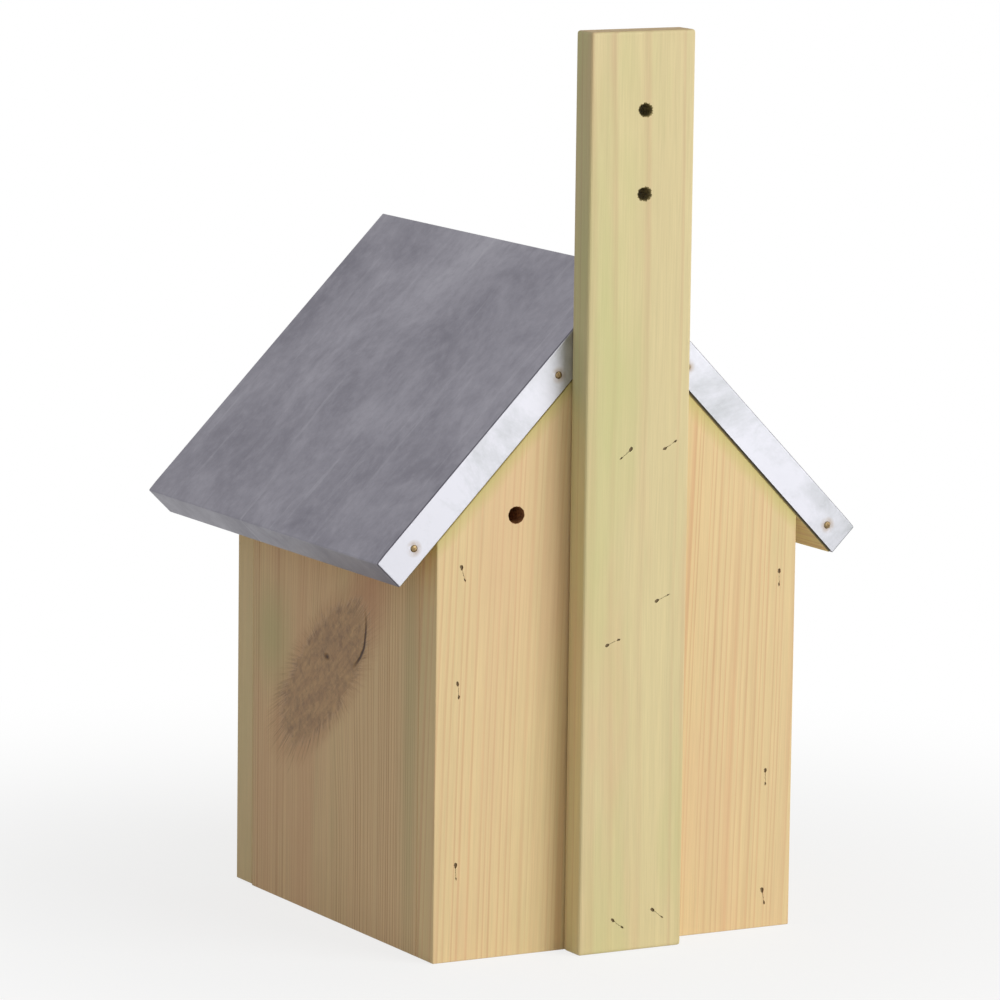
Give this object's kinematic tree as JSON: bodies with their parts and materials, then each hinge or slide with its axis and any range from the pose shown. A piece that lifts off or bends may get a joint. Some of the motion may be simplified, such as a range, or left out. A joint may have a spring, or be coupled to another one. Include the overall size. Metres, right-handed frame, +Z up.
{
  "type": "nest box",
  "caption": "Gabled timber nest box with a folded zinc roof on a long screw-on batten, a round entrance hole and a small vent hole.",
  "frame": {"origin": "middle of the body's underside", "axes": "+Z up; +Y towards the batten side; +X to the right as seen from the entrance side"},
  "size_m": [0.1862, 0.1857, 0.313],
  "materials": {
    "pine": "planed bare pine",
    "side_pine": "planed bare pine with a large knot",
    "batten_pine": "planed bare pine, faintly green",
    "roof_pine": "planed bare pine",
    "zinc": "cloudy weathered zinc sheet",
    "nail_metal": "dull yellowed nail head",
    "staple_metal": "dull steel wire"
  },
  "bodies": {
    "root": {"floor_board": "pine", "front_wall": "pine", "back_wall": "pine", "left_side_wall": "side_pine", "right_side_wall": "side_pine", "left_roof_board": "roof_pine", "right_roof_board": "roof_pine", "zinc_roof": "zinc", "batten": "batten_pine", "back_nail_left_lower": "nail_metal", "back_nail_left_upper": "nail_metal", "back_nail_right_lower": "nail_metal", "back_nail_right_upper": "nail_metal", "front_nail_left_lower": "nail_metal", "front_nail_left_upper": "nail_metal", "front_nail_right_lower": "nail_metal", "front_nail_right_upper": "nail_metal", "back_staple_left_lower": "staple_metal", "back_staple_left_middle": "staple_metal", "back_staple_left_upper": "staple_metal", "back_staple_right_lower": "staple_metal", "back_staple_right_middle": "staple_metal", "back_staple_right_upper": "staple_metal", "batten_staple_left_lower": "staple_metal", "batten_staple_left_middle": "staple_metal", "batten_staple_left_upper": "staple_metal", "batten_staple_right_lower": "staple_metal", "batten_staple_right_middle": "staple_metal", "batten_staple_right_upper": "staple_metal", "front_staple_left_lower": "staple_metal", "front_staple_left_middle": "staple_metal", "front_staple_left_upper": "staple_metal", "front_staple_right_lower": "staple_metal", "front_staple_right_middle": "staple_metal", "front_staple_right_upper": "staple_metal"}
  },
  "joints": []
}
